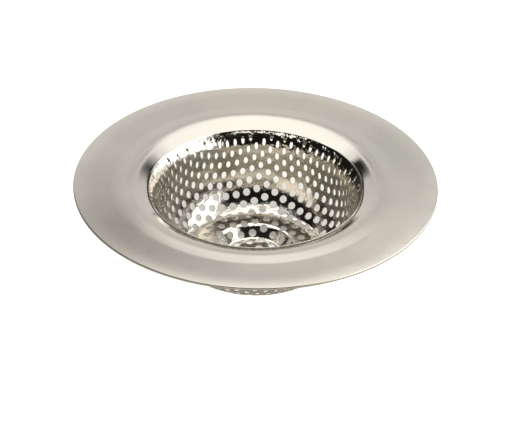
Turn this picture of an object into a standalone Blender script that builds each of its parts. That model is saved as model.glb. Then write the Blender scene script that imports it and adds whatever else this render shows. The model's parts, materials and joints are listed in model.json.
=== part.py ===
"""Drop-in kitchen sink basket strainer: a pressed stainless rim and a drawn perforated basket.

Frame: metres, +Z up.  The origin is the centre of the underside of the basket's floor, on the
basket's axis, so the whole strainer stands on z = 0 and the rim lies near the top.
"""
import math
from bisect import bisect_left

import bpy
from mathutils.geometry import delaunay_2d_cdt

MM = 0.001

# Driving dimensions, in millimetres.
RIM_DIAMETER = 114.0
RIM_SHEET = 0.5
BASKET_SHEET = 0.45
TURN_STEPS = 64

# Rim section: heights above the origin of its upper surface, and the radii where it changes.
# A ..._TURN is the radius of the curve that rounds that change.
SEAT_HEIGHT = 25.65
EDGE_TOP = 26.65
HEM_WIDTH = 2.5
HEM_TURN = 0.45
HEM_INNER_TURN = 0.4
FLANGE_HEIGHT = 27.1
FLANGE_RADIUS = 53.7
FLANGE_TURN = 45.0
BEAD_FOOT_RADIUS = 44.5
BEAD_FOOT_TURN = 8.0
BEAD_APEX_RADIUS = 38.7
BEAD_APEX_HEIGHT = 27.95
BEAD_APEX_TURN = 7.0
COLLAR_RADIUS = 32.8
COLLAR_TOP = 24.9
COLLAR_BOTTOM = 22.9
COLLAR_TURN = 2.5

# Basket section: middle of the sheet, radii and heights above the origin, and their curves.
CENTRE_FLOOR_RADIUS = 9.5
CENTRE_FLOOR_TURN = 1.0
RIDGE_HEIGHT = 3.8
RIDGE_INNER_RADIUS = 12.4
RIDGE_INNER_TURN = 1.1
RIDGE_OUTER_RADIUS = 18.7
RIDGE_OUTER_TURN = 0.8
GROOVE_HEIGHT = 0.9
GROOVE_INNER_RADIUS = 20.3
GROOVE_INNER_TURN = 0.8
GROOVE_OUTER_RADIUS = 23.1
GROOVE_OUTER_TURN = 2.0
SHOULDER_RADIUS = 29.55
SHOULDER_HEIGHT = 7.15
SHOULDER_TURN = 17.5
MOUTH_RADIUS = 30.5
MOUTH_HEIGHT = 22.96
MOUTH_TURN = 9.4
LIP_RADIUS = 33.3
LIP_HEIGHT = 25.7

# Perforation: staggered rows on the flat blank, which is then drawn into the basket.
HOLE_PITCH = 4.1
HOLE_RADIUS = 1.2
ROW_ANGLE = math.radians(18)
LATTICE_SHIFT = (0.6, 0.5)
HOLE_SIDES = 4
ROUND_STRETCH = 1.17
HOLE_NARROWING = 2.6
PLAIN_MARGIN = 1.65


def clear_scene():
    for old in list(bpy.data.objects):
        bpy.data.objects.remove(old, do_unlink=True)


def make_collection(name):
    collection = bpy.data.collections.new(name)
    bpy.context.scene.collection.children.link(collection)
    return collection


def steel(name, colour, roughness):
    material = bpy.data.materials.new(name)
    material.use_nodes = True
    shader = material.node_tree.nodes["Principled BSDF"]
    shader.inputs["Base Color"].default_value = (*colour, 1.0)
    shader.inputs["Metallic"].default_value = 1.0
    shader.inputs["Roughness"].default_value = roughness
    return material


def unit(a, b):
    length = math.dist(a, b)
    return ((b[0] - a[0]) / length, (b[1] - a[1]) / length)


def rounded_corner(before, corner, after, radius, steps):
    """Points of the arc that rounds one corner of an open outline."""
    back = unit(corner, before)
    ahead = unit(corner, after)
    half = math.acos(max(-1.0, min(1.0, back[0] * ahead[0] + back[1] * ahead[1]))) / 2
    reach = radius / math.tan(half)
    middle = unit((0, 0), (back[0] + ahead[0], back[1] + ahead[1]))
    centre = [corner[i] + middle[i] * radius / math.sin(half) for i in (0, 1)]
    start = [corner[i] + back[i] * reach - centre[i] for i in (0, 1)]
    cross = back[0] * ahead[1] - back[1] * ahead[0]
    sweep = math.copysign(math.pi - 2 * half, -cross)
    points = []
    for step in range(steps + 1):
        angle = sweep * step / steps
        x = start[0] * math.cos(angle) - start[1] * math.sin(angle)
        y = start[0] * math.sin(angle) + start[1] * math.cos(angle)
        points.append((centre[0] + x, centre[1] + y))
    return points


def rounded_path(corners):
    """Open outline through corners (radius, height, turn, arc steps); the ends stay sharp."""
    points = [corners[0][:2]]
    for before, corner, after in zip(corners, corners[1:], corners[2:]):
        points += rounded_corner(before[:2], corner[:2], after[:2], corner[2], corner[3])
    points.append(corners[-1][:2])
    return points


def offset_path(points, distance):
    """The outline moved sideways, to the right of its direction of travel."""
    moved = []
    for i, point in enumerate(points):
        along = unit(points[max(i - 1, 0)], points[min(i + 1, len(points) - 1)])
        moved.append((point[0] + along[1] * distance, point[1] - along[0] * distance))
    return moved


def rim_section():
    """Closed outline: up the collar, over the bead and flange, round the hem, back underneath."""
    edge = RIM_DIAMETER / 2
    hem_inner = edge - HEM_WIDTH
    upper = rounded_path([
        (COLLAR_RADIUS, COLLAR_BOTTOM),
        (COLLAR_RADIUS, COLLAR_TOP, COLLAR_TURN, 4),
        (BEAD_APEX_RADIUS, BEAD_APEX_HEIGHT, BEAD_APEX_TURN, 4),
        (BEAD_FOOT_RADIUS, FLANGE_HEIGHT, BEAD_FOOT_TURN, 2),
        (FLANGE_RADIUS, FLANGE_HEIGHT, FLANGE_TURN, 2),
        (edge, EDGE_TOP),
    ])
    lower = [point for point in offset_path(upper, RIM_SHEET) if point[0] < hem_inner]
    hem = rounded_path([
        upper[-2],
        (edge, EDGE_TOP, HEM_TURN, 2),
        (edge, SEAT_HEIGHT, HEM_TURN, 2),
        (hem_inner, SEAT_HEIGHT, HEM_INNER_TURN, 1),
        lower[-1],
    ])
    return upper[:-2] + hem + lower[-2::-1]


def make_rim(collection):
    outline = rim_section()
    mesh = bpy.data.meshes.new("rim_flange")
    vertices = [(radius * MM, 0.0, height * MM) for radius, height in outline]
    edges = [(i, (i + 1) % len(vertices)) for i in range(len(vertices))]
    mesh.from_pydata(vertices, edges, [])
    rim = bpy.data.objects.new("rim_flange", mesh)
    collection.objects.link(rim)
    turn = rim.modifiers.new("turn", "SCREW")
    turn.axis = "Z"
    turn.angle = math.tau
    turn.steps = TURN_STEPS
    turn.render_steps = TURN_STEPS
    turn.use_merge_vertices = True
    turn.merge_threshold = 0.00001
    turn.use_smooth_shade = True
    mesh.materials.append(steel("satin_steel", (0.62, 0.58, 0.51), 0.3))
    return rim


def basket_path():
    """Middle of the basket's sheet, from its axis out to the lip of its flared mouth."""
    floor = BASKET_SHEET / 2
    return rounded_path([
        (0.0, floor),
        (CENTRE_FLOOR_RADIUS, floor, CENTRE_FLOOR_TURN, 3),
        (RIDGE_INNER_RADIUS, RIDGE_HEIGHT, RIDGE_INNER_TURN, 3),
        (RIDGE_OUTER_RADIUS, RIDGE_HEIGHT, RIDGE_OUTER_TURN, 3),
        (GROOVE_INNER_RADIUS, GROOVE_HEIGHT, GROOVE_INNER_TURN, 3),
        (GROOVE_OUTER_RADIUS, GROOVE_HEIGHT, GROOVE_OUTER_TURN, 4),
        (SHOULDER_RADIUS, SHOULDER_HEIGHT, SHOULDER_TURN, 7),
        (MOUTH_RADIUS, MOUTH_HEIGHT, MOUTH_TURN, 5),
        (LIP_RADIUS, LIP_HEIGHT),
    ])


class DrawnSheet:
    """Where each circle of the flat blank lies on the basket: as far along it as it was from the centre."""

    def __init__(self, path):
        self.path = path
        self.blank = [0.0]
        for inner, outer in zip(path, path[1:]):
            self.blank.append(self.blank[-1] + math.dist(inner, outer))

    def place(self, blank):
        """Radius and height on the basket of a circle of the blank."""
        i = min(max(bisect_left(self.blank, blank), 1), len(self.path) - 1)
        share = (blank - self.blank[i - 1]) / (self.blank[i] - self.blank[i - 1])
        inner, outer = self.path[i - 1], self.path[i]
        return tuple(a + (b - a) * share for a, b in zip(inner, outer))


def hole_centres(limit):
    """Staggered rows of holes over the blank, out to a limiting radius."""
    along = (HOLE_PITCH * math.cos(ROW_ANGLE), HOLE_PITCH * math.sin(ROW_ANGLE))
    slant = ROW_ANGLE + math.radians(60)
    across = (HOLE_PITCH * math.cos(slant), HOLE_PITCH * math.sin(slant))
    reach = int(2 * limit / HOLE_PITCH)
    centres = []
    for i in range(-reach, reach + 1):
        for j in range(-reach, reach + 1):
            x = LATTICE_SHIFT[0] + i * along[0] + j * across[0]
            y = LATTICE_SHIFT[1] + i * along[1] + j * across[1]
            if math.hypot(x, y) < limit:
                centres.append((x, y))
    return centres


def hole_outline(centre, sheet):
    """A hole in the blank with the area of a round one.

    Drawing squeezes the blank sideways.  A hole ends up even in the floor, narrow and tall in the wall.
    """
    blank = math.hypot(*centre)
    stretch = max(1.0, blank / sheet.place(blank)[0])
    width = stretch * min(1.0, ROUND_STRETCH / stretch) ** HOLE_NARROWING
    bearing = math.atan2(centre[1], centre[0])
    equal_area = math.sqrt(math.tau / (HOLE_SIDES * math.sin(math.tau / HOLE_SIDES)))
    size = HOLE_RADIUS * equal_area
    points = []
    for side in range(HOLE_SIDES):
        angle = math.tau * side / HOLE_SIDES
        outward = size * math.cos(angle)
        sideways = size * width * math.sin(angle)
        x = centre[0] + outward * math.cos(bearing) - sideways * math.sin(bearing)
        y = centre[1] + outward * math.sin(bearing) + sideways * math.cos(bearing)
        points.append((x, y))
    return points


def perforated_blank(sheet):
    """Vertices and triangles of the flat blank, left open where its holes are."""
    edge = sheet.blank[-1]
    outlines = [hole_outline(centre, sheet) for centre in hole_centres(edge - PLAIN_MARGIN)]
    turns = [math.tau * i / TURN_STEPS for i in range(TURN_STEPS)]
    outlines.append([(edge * math.cos(turn), edge * math.sin(turn)) for turn in turns])
    points, edges, owner = [], [], []
    for number, outline in enumerate(outlines):
        first = len(points)
        count = len(outline)
        points += outline
        owner += [number] * count
        edges += [(first + i, first + (i + 1) % count) for i in range(count)]
    flat, _, faces, origins, _, _ = delaunay_2d_cdt(points, edges, [], 0, 1e-6)
    owners = [owner[origin[0]] for origin in origins]
    kept = [face for face in faces if len({owners[corner] for corner in face}) > 1]
    return flat, kept


def make_basket(collection):
    sheet = DrawnSheet(basket_path())
    flat, faces = perforated_blank(sheet)
    vertices = []
    for point in flat:
        radius, height = sheet.place(math.hypot(point.x, point.y))
        bearing = math.atan2(point.y, point.x)
        vertices.append((radius * math.cos(bearing) * MM, radius * math.sin(bearing) * MM, height * MM))
    mesh = bpy.data.meshes.new("perforated_basket")
    mesh.from_pydata(vertices, [], faces)
    mesh.shade_smooth()
    basket = bpy.data.objects.new("perforated_basket", mesh)
    collection.objects.link(basket)
    wall = basket.modifiers.new("sheet", "SOLIDIFY")
    wall.thickness = BASKET_SHEET * MM
    wall.offset = 0.0
    mesh.materials.append(steel("bright_steel", (0.60, 0.56, 0.49), 0.1))
    return basket


def main():
    clear_scene()
    collection = make_collection("basket_strainer")
    make_rim(collection)
    make_basket(collection)


main()
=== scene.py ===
"""Looks for the drop-in sink strainer: fine pressed-steel meshes, satin and bright steel, studio."""
import json
import math

import bpy
import numpy as np
from mathutils import Euler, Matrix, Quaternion, Vector
from mathutils.geometry import delaunay_2d_cdt


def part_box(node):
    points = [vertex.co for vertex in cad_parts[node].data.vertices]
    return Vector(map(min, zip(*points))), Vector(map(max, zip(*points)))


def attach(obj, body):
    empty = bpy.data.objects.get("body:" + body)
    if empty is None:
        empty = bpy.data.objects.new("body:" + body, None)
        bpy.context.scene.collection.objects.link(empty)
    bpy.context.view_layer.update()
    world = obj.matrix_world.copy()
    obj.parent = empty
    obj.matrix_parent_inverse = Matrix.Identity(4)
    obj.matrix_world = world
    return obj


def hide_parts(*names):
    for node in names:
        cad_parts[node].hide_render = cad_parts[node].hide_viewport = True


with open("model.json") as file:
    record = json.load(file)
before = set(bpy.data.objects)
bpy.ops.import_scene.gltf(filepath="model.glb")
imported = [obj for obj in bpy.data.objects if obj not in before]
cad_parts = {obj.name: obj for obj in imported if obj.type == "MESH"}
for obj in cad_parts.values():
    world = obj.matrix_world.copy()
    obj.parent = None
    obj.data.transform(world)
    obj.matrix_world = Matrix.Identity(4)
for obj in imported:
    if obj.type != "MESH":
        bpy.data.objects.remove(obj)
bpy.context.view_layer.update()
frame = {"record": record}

MM = 0.001

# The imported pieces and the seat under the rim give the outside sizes, in millimetres.
rim_low, rim_high = (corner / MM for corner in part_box("rim_flange"))
basket_low, _ = (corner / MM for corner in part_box("perforated_basket"))
seat = next(mount for mount in frame["record"]["mounts"] if mount["name"] == "drain_seat")
EDGE_RADIUS = rim_high.x
COLLAR_BOTTOM = rim_low.z
SEAT_HEIGHT = seat["pos_m"][2] / MM

# Rim section: in from its edge and up from its seat.  A ..._TURN is the radius of the curve there.
RIM_SHEET = 0.5
HEM_WIDTH = 2.5
HEM_TURN = 0.45
HEM_INNER_TURN = 0.4
EDGE_TOP = SEAT_HEIGHT + 1.0
FLANGE_TOP = SEAT_HEIGHT + 1.45
FLANGE_RADIUS = EDGE_RADIUS - 3.3
FLANGE_TURN = 45.0
BEAD_FOOT_RADIUS = EDGE_RADIUS - 12.5
BEAD_FOOT_TURN = 8.0
BEAD_APEX_RADIUS = EDGE_RADIUS - 18.3
BEAD_APEX_TOP = SEAT_HEIGHT + 2.3
BEAD_APEX_TURN = 7.0
COLLAR_RADIUS = EDGE_RADIUS - 24.2
COLLAR_TOP = SEAT_HEIGHT - 0.75
COLLAR_TURN = 2.5
RIM_STEP = 0.8
RIM_TURNS = 288
RIM_SHARP_ANGLE = math.radians(40)

# Basket section: middle of the sheet, radii and heights above its underside, and their curves.  The
# sheet thins to LIP_EDGE at the lip, and LIP_ROLL turns the shading of its last strip a little steeper.
SHEET = 0.45
FLOOR_MIDDLE = SHEET / 2
CENTRE_FLOOR_RADIUS = 9.5
CENTRE_FLOOR_TURN = 1.0
RIDGE_HEIGHT = 3.8
RIDGE_INNER_RADIUS = 12.4
RIDGE_INNER_TURN = 1.1
RIDGE_OUTER_RADIUS = 18.7
RIDGE_OUTER_TURN = 0.8
GROOVE_HEIGHT = 0.9
GROOVE_INNER_RADIUS = 20.3
GROOVE_INNER_TURN = 0.8
GROOVE_OUTER_RADIUS = 23.1
GROOVE_OUTER_TURN = 2.0
SHOULDER_RADIUS = 29.55
SHOULDER_HEIGHT = 7.15
SHOULDER_TURN = 17.5
MOUTH_RADIUS = 30.5
MOUTH_HEIGHT = 22.96
MOUTH_TURN = 9.4
LIP_RADIUS = 33.4
LIP_HEIGHT = 25.65
LIP_EDGE = 0.16
LIP_ROLL = (1.0, 1.0, 0.6)
BASKET_STEP = 0.25

# Perforation: staggered rows on the flat blank, which is then drawn into the basket.  A hole keeps its
# shape up to ROUND_STRETCH, and narrows beyond it by the power HOLE_NARROWING.
HOLE_PITCH = 4.1
HOLE_RADIUS = 1.18
ROW_ANGLE = math.radians(18)
LATTICE_SHIFT = (0.6, 0.5)
BURR = 0.055
ROUND_STRETCH = 1.17
HOLE_NARROWING = 2.6
PLAIN_MARGIN = 1.65

# Mesh of the blank: points round each hole and the mouth, and a fine lattice that fills the sheet.
HOLE_POINTS = 20
MOUTH_TURNS = 288
LATTICE_PARTS = 7
HOLE_CLEARANCE = 0.12
MOUTH_CLEARANCE = 0.35
MERGE_DISTANCE = 0.00001

# Finishes.
SATIN_TINTS = ((0.48, 0.462, 0.412), (0.55, 0.50, 0.436))
BRIGHT_TINTS = ((0.63, 0.59, 0.515), (0.60, 0.566, 0.50))

# Soft round patches in metres: centre, inner and outer radius, and darkness (less than 0 is a gain).
# The flange's colour: darker in a patch at its front left, paler in one at its front right.
DARK_FLANGE_PATCH = ((-0.039, -0.026, FLANGE_TOP * MM), 0.006, 0.042, 0.34)
PALE_FLANGE_PATCH = ((0.041, -0.028, FLANGE_TOP * MM), 0.006, 0.040, -0.19)
CRUMPLED_WALL = ((0.019, 0.025, 0.022), 0.008, 0.016, -2.6)
# Painted shadow on the floor, for the camera only: under the basket, darker still in a ring, paler in the
# middle, and behind it.
SHADOW_UNDER_BASKET = ((0.0, 0.012, 0.0), 0.026, 0.036, 0.3)
SHADOW_RING_UNDER_BASKET = ((0.0, 0.006, 0.0), 0.019, 0.025, 0.52)
SHADOW_PALER_MIDDLE = ((0.0, 0.003, 0.0), 0.008, 0.011, -1.2)
SHADOW_BEHIND_BASKET = ((0.0, 0.038, 0.0), 0.046, 0.056, 0.38)

# Studio: the camera's distance and range and the floor's size are in metres, the rest in millimetres.
CAMERA_ELEVATION = math.radians(33.6)
CAMERA_ROLL = math.radians(1.1)
CAMERA_DISTANCE = 2.0
CAMERA_RANGE = 20.0
SENSOR_WIDTH = 36.0
VIEW_WIDTH = 162.8
VIEW_RIGHT = 1.7
VIEW_DOWN = 7.7
FLOOR_SIZE = 6.0
FLOOR_GAP = 0.2
FLOOR_COLOUR = (0.36, 0.345, 0.31, 1.0)
FLOOR_GLOW_COLOUR = (1.0, 0.97, 0.90, 1.0)
FLOOR_GLOW = 0.24
SEEN_GLOW = 1.1

# Brightness of each part of the surroundings.
DARK_LIGHT = 0.012
WALL_LIGHT = 1.0
MIDDLE_LIGHT = 0.68
CORNER_LIGHT = 1.5
POST_LIGHT = 0.02
WINDOW_LIGHT = 3.0
OVERHEAD_LIGHT = 1.95


# ---------------------------------------------------------------- outlines

def unit(a, b):
    """Direction from one point to another."""
    length = math.dist(a, b)
    return ((b[0] - a[0]) / length, (b[1] - a[1]) / length)


def rounded_corner(before, corner, after, radius, steps):
    """Points of the arc that rounds one corner of an open outline."""
    back = unit(corner, before)
    ahead = unit(corner, after)
    half = math.acos(max(-1.0, min(1.0, back[0] * ahead[0] + back[1] * ahead[1]))) / 2
    reach = radius / math.tan(half)
    middle = unit((0, 0), (back[0] + ahead[0], back[1] + ahead[1]))
    centre = [corner[i] + middle[i] * radius / math.sin(half) for i in (0, 1)]
    start = [corner[i] + back[i] * reach - centre[i] for i in (0, 1)]
    cross = back[0] * ahead[1] - back[1] * ahead[0]
    sweep = math.copysign(math.pi - 2 * half, -cross)
    points = []
    for step in range(steps + 1):
        angle = sweep * step / steps
        x = start[0] * math.cos(angle) - start[1] * math.sin(angle)
        y = start[0] * math.sin(angle) + start[1] * math.cos(angle)
        points.append((centre[0] + x, centre[1] + y))
    return points


def rounded_path(corners):
    """Open outline through corners (radius, height, turn, arc steps); the ends stay sharp."""
    points = [corners[0][:2]]
    for before, corner, after in zip(corners, corners[1:], corners[2:]):
        points += rounded_corner(before[:2], corner[:2], after[:2], corner[2], corner[3])
    points.append(corners[-1][:2])
    return points


def offset_path(points, distance):
    """The outline moved sideways, to the right of its direction of travel."""
    moved = []
    for i, point in enumerate(points):
        along = unit(points[max(i - 1, 0)], points[min(i + 1, len(points) - 1)])
        moved.append((point[0] + along[1] * distance, point[1] - along[0] * distance))
    return moved


def spaced(points, step):
    """The outline with its long stretches divided, so that no edge is longer than the step."""
    result = [points[0]]
    for start, end in zip(points, points[1:]):
        parts = max(1, math.ceil(math.dist(start, end) / step))
        for part in range(1, parts + 1):
            share = part / parts
            result.append(tuple(a + (b - a) * share for a, b in zip(start, end)))
    return result


def new_object(name, vertices, faces, material):
    """A smooth-shaded mesh object, linked to the scene."""
    mesh = bpy.data.meshes.new(name)
    mesh.from_pydata(vertices, [], faces)
    mesh.materials.append(material)
    mesh.shade_smooth()
    made = bpy.data.objects.new(name, mesh)
    bpy.context.scene.collection.objects.link(made)
    return made


# ---------------------------------------------------------------- rim

def rim_section():
    """Closed outline: up the collar, over the bead and flange, round the hem, back underneath."""
    hem_inner = EDGE_RADIUS - HEM_WIDTH
    upper = rounded_path([
        (COLLAR_RADIUS, COLLAR_BOTTOM),
        (COLLAR_RADIUS, COLLAR_TOP, COLLAR_TURN, 16),
        (BEAD_APEX_RADIUS, BEAD_APEX_TOP, BEAD_APEX_TURN, 20),
        (BEAD_FOOT_RADIUS, FLANGE_TOP, BEAD_FOOT_TURN, 12),
        (FLANGE_RADIUS, FLANGE_TOP, FLANGE_TURN, 12),
        (EDGE_RADIUS, EDGE_TOP),
    ])
    lower = [point for point in offset_path(upper, RIM_SHEET) if point[0] < hem_inner]
    hem = rounded_path([
        upper[-2],
        (EDGE_RADIUS, EDGE_TOP, HEM_TURN, 8),
        (EDGE_RADIUS, SEAT_HEIGHT, HEM_TURN, 8),
        (hem_inner, SEAT_HEIGHT, HEM_INNER_TURN, 5),
        lower[-1],
    ])
    return spaced(upper[:-2] + hem + lower[-2::-1], RIM_STEP)


def turned(name, outline, turns, material):
    """A closed outline turned round the Z axis."""
    count = len(outline)
    vertices = []
    for turn in range(turns):
        angle = math.tau * turn / turns
        for radius, height in outline:
            x = radius * math.cos(angle) * MM
            y = radius * math.sin(angle) * MM
            vertices.append((x, y, height * MM))
    faces = []
    for turn in range(turns):
        here = turn * count
        there = (turn + 1) % turns * count
        for i in range(count):
            j = (i + 1) % count
            faces.append((here + i, here + j, there + j, there + i))
    made = new_object(name, vertices, faces, material)
    made.data.set_sharp_from_angle(angle=RIM_SHARP_ANGLE)
    return made


# ---------------------------------------------------------------- basket

def basket_path():
    """Middle of the basket's sheet, from its axis out to the edge of its flared mouth."""
    return np.array(spaced(rounded_path([
        (0.0, FLOOR_MIDDLE),
        (CENTRE_FLOOR_RADIUS, FLOOR_MIDDLE, CENTRE_FLOOR_TURN, 10),
        (RIDGE_INNER_RADIUS, RIDGE_HEIGHT, RIDGE_INNER_TURN, 12),
        (RIDGE_OUTER_RADIUS, RIDGE_HEIGHT, RIDGE_OUTER_TURN, 8),
        (GROOVE_INNER_RADIUS, GROOVE_HEIGHT, GROOVE_INNER_TURN, 8),
        (GROOVE_OUTER_RADIUS, GROOVE_HEIGHT, GROOVE_OUTER_TURN, 12),
        (SHOULDER_RADIUS, SHOULDER_HEIGHT, SHOULDER_TURN, 18),
        (MOUTH_RADIUS, MOUTH_HEIGHT, MOUTH_TURN, 16),
        (LIP_RADIUS, LIP_HEIGHT),
    ]), BASKET_STEP))


class DrawnSheet:
    """Where each circle of the flat blank lies on the basket once the blank has been drawn."""

    def __init__(self, path):
        self.path = path
        steps = np.diff(path, axis=0)
        lengths = np.hypot(steps[:, 0], steps[:, 1])
        self.blank = np.concatenate([[0.0], np.cumsum(lengths)])
        along = np.gradient(path, axis=0)
        along /= np.hypot(along[:, 0], along[:, 1])[:, None]
        self.normal = np.stack([-along[:, 1], along[:, 0]], axis=1)

    def place(self, blank):
        """Radii and heights on the basket of circles of the blank."""
        return [np.interp(blank, self.blank, self.path[:, i]) for i in (0, 1)]

    def upward(self, blank):
        """The sheet's inner normal there, as parts outward and up."""
        parts = [np.interp(blank, self.blank, self.normal[:, i]) for i in (0, 1)]
        size = np.hypot(*parts)
        return [part / size for part in parts]


def lattice(limit, parts):
    """Points of the staggered lattice, its pitch divided into equal parts, inside a radius."""
    pitch = HOLE_PITCH / parts
    slant = ROW_ANGLE + math.radians(60)
    reach = int(2 * limit / pitch)
    i, j = np.meshgrid(np.arange(-reach, reach + 1), np.arange(-reach, reach + 1))
    i, j = i.ravel(), j.ravel()
    x = LATTICE_SHIFT[0] + pitch * (i * math.cos(ROW_ANGLE) + j * math.cos(slant))
    y = LATTICE_SHIFT[1] + pitch * (i * math.sin(ROW_ANGLE) + j * math.sin(slant))
    inside = np.hypot(x, y) < limit
    return np.stack([x[inside], y[inside]], axis=1)


def hole_frames(centres, sheet):
    """For each hole: unit vectors outward and sideways on the blank, and its width over its height.

    Drawing squeezes the blank sideways.  The floor's holes end up round, the wall's narrow and tall.
    """
    blank = np.hypot(centres[:, 0], centres[:, 1])
    radius, _ = sheet.place(blank)
    stretch = np.maximum(blank, radius) / radius
    width = stretch * np.minimum(1.0, ROUND_STRETCH / stretch) ** HOLE_NARROWING
    outward = centres / blank[:, None]
    sideways = np.stack([-outward[:, 1], outward[:, 0]], axis=1)
    return outward, sideways, width


def hole_ring(centres, frames, radius):
    """A ring of points round every hole."""
    outward, sideways, width = frames
    angles = np.arange(HOLE_POINTS) * math.tau / HOLE_POINTS
    along = (radius * np.cos(angles))[:, None]
    across = radius * width[:, None] * np.sin(angles)
    return centres[:, None] + along * outward[:, None] + across[..., None] * sideways[:, None]


def fill_points(limit, centres, frames):
    """Points of the fine lattice inside a radius and clear of the holes."""
    fill = lattice(limit, LATTICE_PARTS)
    clear = np.ones(len(fill), bool)
    for centre, out, side, width in zip(centres, *frames):
        offset = fill - centre
        size = np.hypot(offset @ out, offset @ side / width)
        clear &= size > HOLE_RADIUS + BURR + HOLE_CLEARANCE
    return fill[clear]


def closed_rings(first, count, size):
    """Edges of rings of points that follow one another from a first point, all of one size."""
    starts = range(first, first + count * size, size)
    return [(start + i, start + (i + 1) % size) for start in starts for i in range(size)]


def blank_layout(sheet):
    """The blank between its holes: points, triangles, hole centres and frames, and the mouth's points."""
    edge = sheet.blank[-1]
    centres = lattice(edge - PLAIN_MARGIN, 1)
    frames = hole_frames(centres, sheet)
    rings = hole_ring(centres, frames, HOLE_RADIUS + BURR)
    turns = np.arange(MOUTH_TURNS) * math.tau / MOUTH_TURNS
    circle = np.stack([np.cos(turns), np.sin(turns)], axis=1)
    fill = fill_points(edge - MOUTH_CLEARANCE, centres, frames)
    points = np.concatenate([rings.reshape(-1, 2), circle * edge, fill])
    ring_end = len(centres) * HOLE_POINTS
    edges = closed_rings(0, len(centres), HOLE_POINTS) + closed_rings(ring_end, 1, MOUTH_TURNS)
    corners = [Vector(point) for point in points]
    _, _, faces, origins, _, _ = delaunay_2d_cdt(corners, edges, [], 0, MERGE_DISTANCE)
    order = np.array([origin[0] for origin in origins])
    kept = []
    for face in faces:
        numbers = order[list(face)]
        in_hole = numbers.max() < ring_end and len(set(numbers // HOLE_POINTS)) == 1
        if not in_hole:
            kept.append(tuple(int(n) for n in numbers))
    return points, kept, centres, frames, range(ring_end, ring_end + MOUTH_TURNS)


def formed(points, sheet, level):
    """Points of the blank set on the basket, and the sheet's normals there.

    The level is the distance from the middle of the sheet, towards the inside of the basket.
    """
    blank = np.hypot(points[:, 0], points[:, 1])
    bearing = np.arctan2(points[:, 1], points[:, 0])
    radius, height = sheet.place(blank)
    out, up = sheet.upward(blank)
    radius = radius + out * level
    height = height + up * level
    position = np.stack([radius * np.cos(bearing), radius * np.sin(bearing), height], axis=1)
    normal = np.stack([out * np.cos(bearing), out * np.sin(bearing), up], axis=1)
    return position, normal


def hole_walls(hole_count, count):
    """Faces round the holes of a sheet of count points a side: burr, throat and burr."""
    top = 2 * count
    low = top + hole_count * HOLE_POINTS
    quads = []
    for a, b in closed_rings(0, hole_count, HOLE_POINTS):
        quads.append((a, b, top + b, top + a))
        quads.append((top + a, top + b, low + b, low + a))
        quads.append((low + a, low + b, count + b, count + a))
    return quads


def make_basket(material):
    """The basket as one closed sheet: inner face, outer face, hole walls and the mouth's edge."""
    sheet = DrawnSheet(basket_path())
    points, faces, centres, frames, mouth = blank_layout(sheet)
    count = len(points)
    level = np.full(count, SHEET / 2)
    level[mouth] = LIP_EDGE / 2
    inner, inner_normal = formed(points, sheet, level)
    outer, outer_normal = formed(points, sheet, -level)
    inner_normal[mouth] *= LIP_ROLL
    throat = hole_ring(centres, frames, HOLE_RADIUS).reshape(-1, 2)
    throat_top, _ = formed(throat, sheet, SHEET / 2 - BURR)
    throat_low, _ = formed(throat, sheet, BURR - SHEET / 2)
    vertices = np.concatenate([inner, outer, throat_top, throat_low]) * MM
    under = [tuple(count + n for n in reversed(face)) for face in faces]
    quads = hole_walls(len(centres), count)
    quads += [(b, a, count + a, count + b) for a, b in closed_rings(mouth[0], 1, MOUTH_TURNS)]
    basket = new_object("basket_drawn", vertices.tolist(), faces + under + quads, material)
    normals = np.concatenate([inner_normal, -outer_normal])
    set_surface_normals(basket.data, normals, 2 * len(faces))
    return basket


def set_surface_normals(mesh, normals, face_count):
    """Gives the sheet's inner and outer faces these normals, and leaves the cut edges their own."""
    corners = np.empty(len(mesh.loops), np.int32)
    mesh.loops.foreach_get("vertex_index", corners)
    own = np.empty(len(mesh.loops) * 3, np.float32)
    mesh.corner_normals.foreach_get("vector", own)
    own = own.reshape(-1, 3)
    surface = face_count * 3
    own[:surface] = normals[corners[:surface]]
    mesh.normals_split_custom_set(own.tolist())


# ---------------------------------------------------------------- materials

def node(tree, kind, **inputs):
    """A new node with some of its inputs set."""
    made = tree.nodes.new(kind)
    for name, value in inputs.items():
        made.inputs[name].default_value = value
    return made


def math_node(tree, operation, *values):
    """The output of a maths node; its values are numbers or sockets."""
    made = tree.nodes.new("ShaderNodeMath")
    made.operation = operation
    for socket, value in zip(made.inputs, values):
        if isinstance(value, (int, float)):
            socket.default_value = value
        else:
            tree.links.new(value, socket)
    return made.outputs[0]


def product(tree, first, *others):
    """Several masks or brightnesses multiplied together."""
    for other in others:
        first = math_node(tree, "MULTIPLY", first, other)
    return first


def noise(tree, vector, scale, detail=3.0):
    made = node(tree, "ShaderNodeTexNoise", Scale=scale, Detail=detail, Roughness=0.6)
    tree.links.new(vector, made.inputs["Vector"])
    return made.outputs["Fac"]


def spread_over(tree, value, low, high, inside=(0.3, 0.7)):
    """A value turned from one range to another, and held at its ends."""
    made = tree.nodes.new("ShaderNodeMapRange")
    for socket, limit in zip(made.inputs[1:5], (*inside, low, high)):
        socket.default_value = limit
    tree.links.new(value, made.inputs["Value"])
    return made.outputs["Result"]


def metal(name, colours, cloud_scale):
    """A bare metal whose tint drifts between two colours, with its tree and its place socket."""
    material = bpy.data.materials.new(name)
    material.use_nodes = True
    tree = material.node_tree
    shader = tree.nodes["Principled BSDF"]
    shader.inputs["Metallic"].default_value = 1.0
    place = tree.nodes.new("ShaderNodeTexCoord").outputs["Object"]
    tint = node(tree, "ShaderNodeMix")
    tint.data_type = "RGBA"
    tint.inputs["A"].default_value = (*colours[0], 1.0)
    tint.inputs["B"].default_value = (*colours[1], 1.0)
    cloud = noise(tree, place, cloud_scale)
    tree.links.new(spread_over(tree, cloud, 0.0, 1.0), tint.inputs["Factor"])
    tree.links.new(tint.outputs["Result"], shader.inputs["Base Color"])
    return material, tree, place


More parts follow.
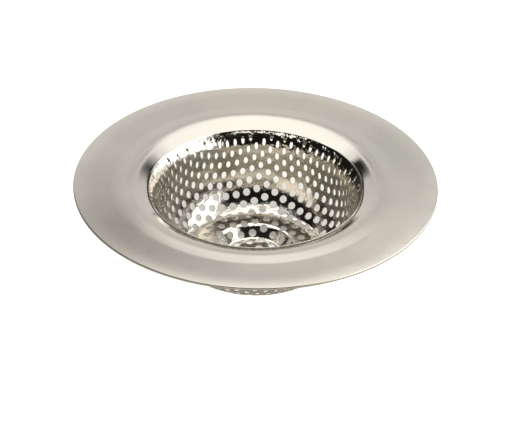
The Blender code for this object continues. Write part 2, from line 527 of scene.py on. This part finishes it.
def relief(tree, heights):
    """Bumps the surface by several (height, strength, distance) layers, one on another."""
    normal = None
    for height, strength, distance in heights:
        press = node(tree, "ShaderNodeBump", Strength=strength, Distance=distance)
        tree.links.new(height, press.inputs["Height"])
        if normal:
            tree.links.new(normal, press.inputs["Normal"])
        normal = press.outputs["Normal"]
    tree.links.new(normal, tree.nodes["Principled BSDF"].inputs["Normal"])


def shade(tree, centre, inner, outer, darkness):
    """A factor for a soft round patch: 1 - darkness inside it, and 1 outside."""
    place = tree.nodes.new("ShaderNodeTexCoord").outputs["Object"]
    reach = node(tree, "ShaderNodeVectorMath")
    reach.operation = "DISTANCE"
    reach.inputs[1].default_value = centre
    tree.links.new(place, reach.inputs[0])
    return spread_over(tree, reach.outputs["Value"], 1.0 - darkness, 1.0, (inner, outer))


def scaled_colour(tree, factor):
    """Multiplies the metal's colour by a brightness."""
    colour = tree.nodes["Principled BSDF"].inputs["Base Color"]
    scaled = tree.nodes.new("ShaderNodeVectorMath")
    scaled.operation = "SCALE"
    tree.links.new(colour.links[0].from_socket, scaled.inputs[0])
    tree.links.new(factor, scaled.inputs["Scale"])
    tree.links.new(scaled.outputs[0], colour)


def distance_from_axis(tree, place):
    flat = node(tree, "ShaderNodeVectorMath")
    flat.operation = "MULTIPLY"
    flat.inputs[1].default_value = (1.0, 1.0, 0.0)
    tree.links.new(place, flat.inputs[0])
    radius = tree.nodes.new("ShaderNodeVectorMath")
    radius.operation = "LENGTH"
    tree.links.new(flat.outputs["Vector"], radius.inputs[0])
    return radius.outputs["Value"]


def satin_roughness(tree, place, radius, lines, scuffs):
    """Cloudy, a little rougher on hairlines and scuffs, and polished from the bead down to the mouth."""
    clouds = spread_over(tree, noise(tree, place, 70.0, 4.0), 0.235, 0.315)
    rough = math_node(tree, "MULTIPLY_ADD", scuffs, 0.1, clouds)
    rough = math_node(tree, "MULTIPLY_ADD", lines, 0.04, rough)
    slope = ((LIP_RADIUS + 2.0) * MM, BEAD_APEX_RADIUS * MM)
    return product(tree, rough, spread_over(tree, radius, 0.22, 1.0, slope))


def flange_tone_and_sheen(tree, radius):
    """Brightness of the flange: a darker and a paler patch, and a painted sheen, a paler band along its
    edge.
    """
    # Painted sheen: the flange's colour is paler along its outer edge, where it curves down.
    edge_sheen = spread_over(tree, radius, 1.0, 1.11, (0.051, 0.056))
    patches_and_sheen = product(tree, shade(tree, *DARK_FLANGE_PATCH), shade(tree, *PALE_FLANGE_PATCH), edge_sheen)
    flange = spread_over(tree, radius, 0.0, 1.0, (0.041, 0.046))
    return math_node(tree, "MULTIPLY_ADD", math_node(tree, "SUBTRACT", patches_and_sheen, 1.0), flange, 1.0)


def satin_steel():
    """The rim's finish: a soft sheen with hairlines round it, cloudy tone, a darker and a paler patch,
    scuffs, and a painted sheen at the flange's edge.
    """
    material, tree, place = metal("satin_steel_finish", SATIN_TINTS, 28.0)
    radius = distance_from_axis(tree, place)
    lines = noise(tree, radius, 2600.0, 2.0)
    long_way = node(tree, "ShaderNodeMapping", Scale=(90.0, 420.0, 90.0), Rotation=(0.0, 0.0, 0.4))
    tree.links.new(place, long_way.inputs["Vector"])
    streaks = noise(tree, long_way.outputs["Vector"], 1.0, 5.0)
    scuffs = spread_over(tree, streaks, 0.0, 1.0, (0.68, 0.76))
    rough = satin_roughness(tree, place, radius, lines, scuffs)
    tree.links.new(rough, tree.nodes["Principled BSDF"].inputs["Roughness"])
    scaled_colour(tree, flange_tone_and_sheen(tree, radius))
    dimples = noise(tree, place, 500.0)
    relief(tree, [(lines, 0.05, 0.00002), (scuffs, 0.25, 0.00002), (dimples, 0.02, 0.0002)])
    return material


def bright_steel():
    """The basket's finish: near a mirror, rippled most near the lip, and crumpled at one place there."""
    material, tree, place = metal("bright_steel_finish", BRIGHT_TINTS, 120.0)
    rough = spread_over(tree, noise(tree, place, 160.0, 4.0), 0.07, 0.15)
    tree.links.new(rough, tree.nodes["Principled BSDF"].inputs["Roughness"])
    split = tree.nodes.new("ShaderNodeSeparateXYZ")
    tree.links.new(place, split.inputs["Vector"])
    near_lip = spread_over(tree, split.outputs["Z"], 1.0, 3.0, (0.018, 0.023))
    press = product(tree, near_lip, shade(tree, *CRUMPLED_WALL))
    ripples = product(tree, noise(tree, place, 420.0, 2.0), press)
    grain = noise(tree, place, 1500.0, 3.0)
    relief(tree, [(ripples, 0.35, 0.0002), (grain, 0.15, 0.0002)])
    return material


# ---------------------------------------------------------------- studio

def floor_glow(tree):
    """Glow of the floor: even for what it lights, and for the camera a painted shadow under, round and
    behind the basket.
    """
    shadow_patches = (SHADOW_UNDER_BASKET, SHADOW_RING_UNDER_BASKET, SHADOW_PALER_MIDDLE, SHADOW_BEHIND_BASKET)
    painted_shadow = product(tree, *(shade(tree, *patch) for patch in shadow_patches))
    extra = math_node(tree, "MULTIPLY_ADD", painted_shadow, SEEN_GLOW, -FLOOR_GLOW)
    seen = tree.nodes.new("ShaderNodeLightPath").outputs["Is Camera Ray"]
    return math_node(tree, "MULTIPLY_ADD", extra, seen, FLOOR_GLOW)


def make_floor():
    height = (basket_low.z - FLOOR_GAP) * MM
    bpy.ops.mesh.primitive_plane_add(size=FLOOR_SIZE, location=(0, 0, height))
    floor = bpy.context.object
    floor.name = "floor"
    material = bpy.data.materials.new("pale_floor")
    material.use_nodes = True
    tree = material.node_tree
    shader = tree.nodes["Principled BSDF"]
    shader.inputs["Base Color"].default_value = FLOOR_COLOUR
    shader.inputs["Roughness"].default_value = 1.0
    shader.inputs["Emission Color"].default_value = FLOOR_GLOW_COLOUR
    tree.links.new(floor_glow(tree), shader.inputs["Emission Strength"])
    floor.data.materials.append(material)


def sine(degrees):
    """Height of a direction at this elevation."""
    return math.sin(math.radians(degrees))


def ease(tree, value, start, end):
    """A mask that goes smoothly from 0 at the first limit to 1 at the second."""
    made = tree.nodes.new("ShaderNodeMapRange")
    made.interpolation_type = "SMOOTHSTEP"
    made.inputs["From Min"].default_value = start
    made.inputs["From Max"].default_value = end
    tree.links.new(value, made.inputs["Value"])
    return made.outputs["Result"]


def layer(tree, below, mask, brightness):
    """Paints one soft patch of light over what is below it."""
    made = tree.nodes.new("ShaderNodeMix")
    factor, _, under, over = made.inputs[:4]
    over.default_value = brightness
    if isinstance(below, float):
        under.default_value = below
    else:
        tree.links.new(below, under)
    tree.links.new(mask, factor)
    return made.outputs[0]


def wall_mask(tree, right, back, up):
    """The pale wall behind, low and wide."""
    wall = product(tree, ease(tree, back, 0.2, 0.5), ease(tree, up, sine(40), sine(35)))
    return product(tree, wall, ease(tree, right, -0.7, -0.56), ease(tree, right, 0.54, 0.44))


def middle_mask(tree, aside, back, up):
    """A fainter glow over the middle of the wall."""
    middle = product(tree, ease(tree, aside, 0.36, 0.08), ease(tree, back, 0.3, 0.6))
    return product(tree, middle, ease(tree, up, sine(28), sine(38)))


def corner_mask(tree, aside, back, up):
    """A bright patch over each end of the wall."""
    corner = product(tree, ease(tree, aside, 0.3, 0.45), ease(tree, aside, 0.74, 0.62))
    return product(tree, corner, ease(tree, up, sine(31), sine(40)), ease(tree, back, 0.2, 0.4))


def post_mask(tree, right, aside, back, up):
    """A dark post at each end of the wall, fainter on the right."""
    post = product(tree, ease(tree, aside, 0.48, 0.52), ease(tree, aside, 0.62, 0.57))
    post = product(tree, post, ease(tree, up, sine(42), sine(38)), ease(tree, back, 0.2, 0.4))
    return product(tree, post, ease(tree, right, 1.2, -0.4))


def overhead_mask(tree, aside, back, up):
    """The wide light overhead, reaching a little lower at the sides and the back."""
    lean = math_node(tree, "MULTIPLY_ADD", math_node(tree, "MINIMUM", aside, 0.2), 0.18, up)
    return ease(tree, math_node(tree, "MULTIPLY_ADD", back, 0.07, lean), 0.75, 0.83)


def make_studio_light():
    """Pale wall behind, dark gap over it, soft light overhead and at the right, dark in front."""
    world = bpy.data.worlds.new("studio")
    bpy.context.scene.world = world
    world.use_nodes = True
    tree = world.node_tree
    place = tree.nodes.new("ShaderNodeTexCoord")
    split = tree.nodes.new("ShaderNodeSeparateXYZ")
    tree.links.new(place.outputs["Generated"], split.inputs["Vector"])
    right, back, up = split.outputs
    aside = math_node(tree, "ABSOLUTE", right)
    window = product(tree, ease(tree, right, 0.58, 0.72), ease(tree, up, 0.1, 0.2))
    light = layer(tree, DARK_LIGHT, wall_mask(tree, right, back, up), WALL_LIGHT)
    light = layer(tree, light, middle_mask(tree, aside, back, up), MIDDLE_LIGHT)
    light = layer(tree, light, corner_mask(tree, aside, back, up), CORNER_LIGHT)
    light = layer(tree, light, post_mask(tree, right, aside, back, up), POST_LIGHT)
    light = layer(tree, light, window, WINDOW_LIGHT)
    light = layer(tree, light, overhead_mask(tree, aside, back, up), OVERHEAD_LIGHT)
    tree.links.new(light, tree.nodes["Background"].inputs["Color"])


def make_camera():
    """A long lens at the given elevation, aimed from the middle of the rim's edge."""
    data = bpy.data.cameras.new("camera")
    data.sensor_width = SENSOR_WIDTH
    data.lens = SENSOR_WIDTH * CAMERA_DISTANCE / (VIEW_WIDTH * MM)
    data.clip_end = CAMERA_RANGE
    camera = bpy.data.objects.new("camera", data)
    bpy.context.scene.collection.objects.link(camera)
    backward = Vector((0, -math.cos(CAMERA_ELEVATION), math.sin(CAMERA_ELEVATION)))
    upward = Vector((0, math.sin(CAMERA_ELEVATION), math.cos(CAMERA_ELEVATION)))
    edge_centre = Vector((0, 0, (SEAT_HEIGHT + EDGE_TOP) / 2 * MM))
    target = edge_centre + Vector((VIEW_RIGHT * MM, 0, 0)) - upward * VIEW_DOWN * MM
    camera.location = target + backward * CAMERA_DISTANCE
    facing = Euler((math.pi / 2 - CAMERA_ELEVATION, 0, 0)).to_quaternion()
    camera.rotation_euler = (Quaternion(backward, CAMERA_ROLL) @ facing).to_euler()
    bpy.context.scene.camera = camera


# ---------------------------------------------------------------- assembly

def main():
    rim = turned("rim_pressed", rim_section(), RIM_TURNS, satin_steel())
    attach(rim, "root")
    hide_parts("rim_flange")
    basket = make_basket(bright_steel())
    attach(basket, "root")
    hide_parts("perforated_basket")
    make_floor()
    make_studio_light()
    make_camera()
    bpy.context.scene.view_settings.view_transform = "Standard"


main()
